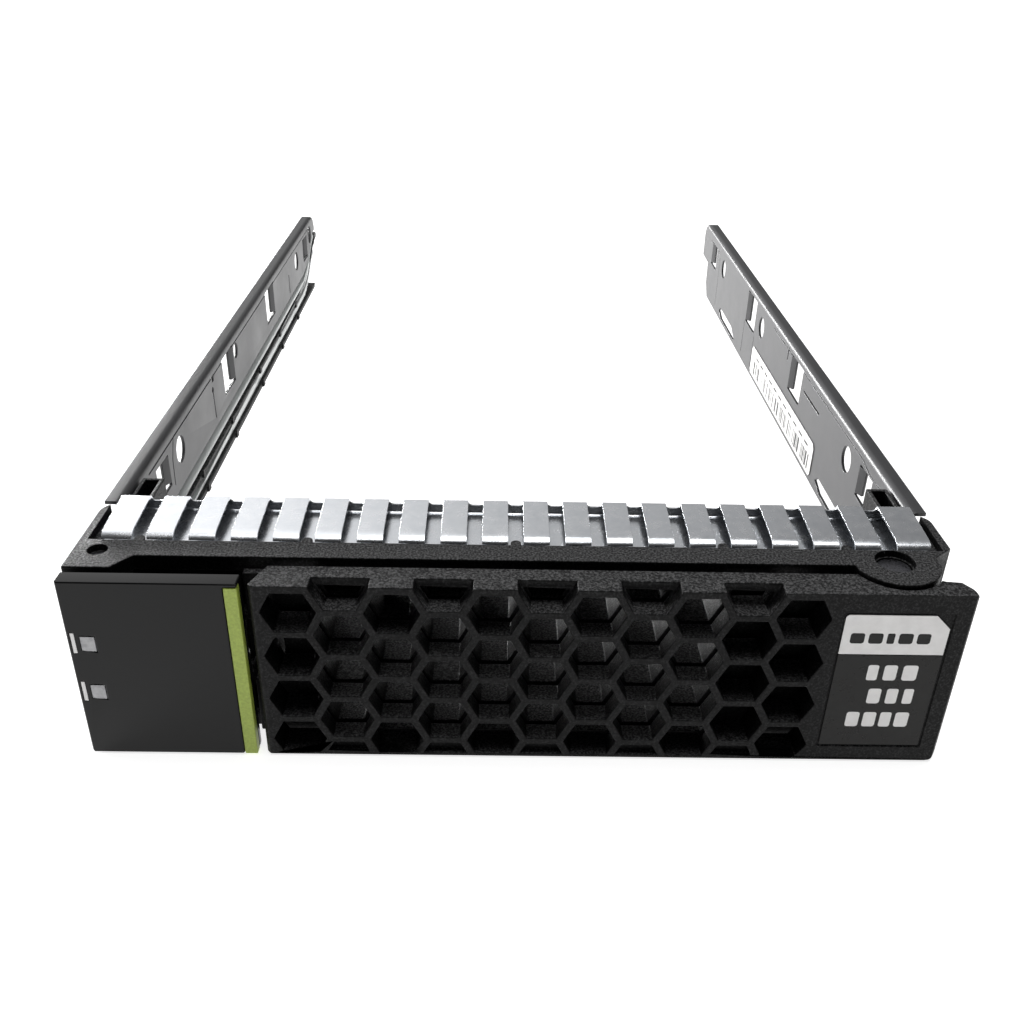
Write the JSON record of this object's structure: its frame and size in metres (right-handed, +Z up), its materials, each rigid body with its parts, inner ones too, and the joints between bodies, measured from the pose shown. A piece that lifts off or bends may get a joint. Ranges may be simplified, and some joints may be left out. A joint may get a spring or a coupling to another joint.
{
  "type": "hard drive carrier",
  "caption": "Empty hot-swap carrier for a 3.5-inch hard disk: honeycomb ejector lever on a pivot pin, sprung release button with latch, shielding strip, two steel rails and light pipes.",
  "frame": {"origin": "on the ground under the middle of the carrier, half way along it and half way across", "axes": "+Y from the bezel to the tail, +X to the bezel's right as seen from the front, +Z up through the open drive bay"},
  "size_m": [0.107, 0.1756, 0.0271],
  "materials": {
    "textured_black": "fine spark-eroded texture",
    "gloss_black": "high gloss",
    "green": "satin",
    "lens": "milky light window",
    "clear": "clear moulded light pipe",
    "spring_steel": "bright cold-rolled stainless",
    "pin_steel": "dark turned steel",
    "rail_steel": "thin dark coat on folded sheet, bright cut edges",
    "label_white": "satin film",
    "label_black": "satin printed film"
  },
  "bodies": {
    "carrier": {"front_frame": "textured_black", "shield_spring_strip": "spring_steel", "lever_pivot_pin": "pin_steel", "lever_spring": "spring_steel", "button_pin_upper": "pin_steel", "button_pin_lower": "pin_steel", "latch_spring": "spring_steel", "left_rail": "rail_steel", "right_rail": "rail_steel", "barcode_label": "label_white", "light_pipe_upper": "clear", "light_pipe_lower": "clear", "light_pipe_holder": "textured_black"},
    "lever": {"ejector_lever": "textured_black", "white_label": "label_white", "black_label": "label_black"},
    "button": {"release_button": "gloss_black", "button_stripe": "green", "status_lens_upper": "lens", "status_lens_lower": "lens", "status_mark_upper": "label_white", "status_mark_lower": "label_white"},
    "latch": {"latch_slide": "textured_black"}
  },
  "joints": [
    {"name": "lever_swing", "type": "hinge", "parent": "carrier", "child": "lever", "pos_m": [0.0456, -0.081, 0.013], "axis": [0, 0, 1], "range_deg": [0, 42], "deforming": ["lever_spring"]},
    {"name": "button_press", "type": "hinge", "parent": "carrier", "child": "button", "pos_m": [-0.0505, -0.0809, 0.013], "axis": [0, 0, 1], "range_deg": [0, 6], "stiffness_Nm_per_rad": 0.33, "springref_deg": -4.87},
    {"name": "latch_retract", "type": "slide", "parent": "carrier", "child": "latch", "axis": [-1, 0, 0], "range_m": [0, 0.00126], "deforming": ["latch_spring"]}
  ],
  "couplings": [
    {"joint": "latch_retract", "follows": "button_press", "m_per_rad": 0.0119}
  ]
}
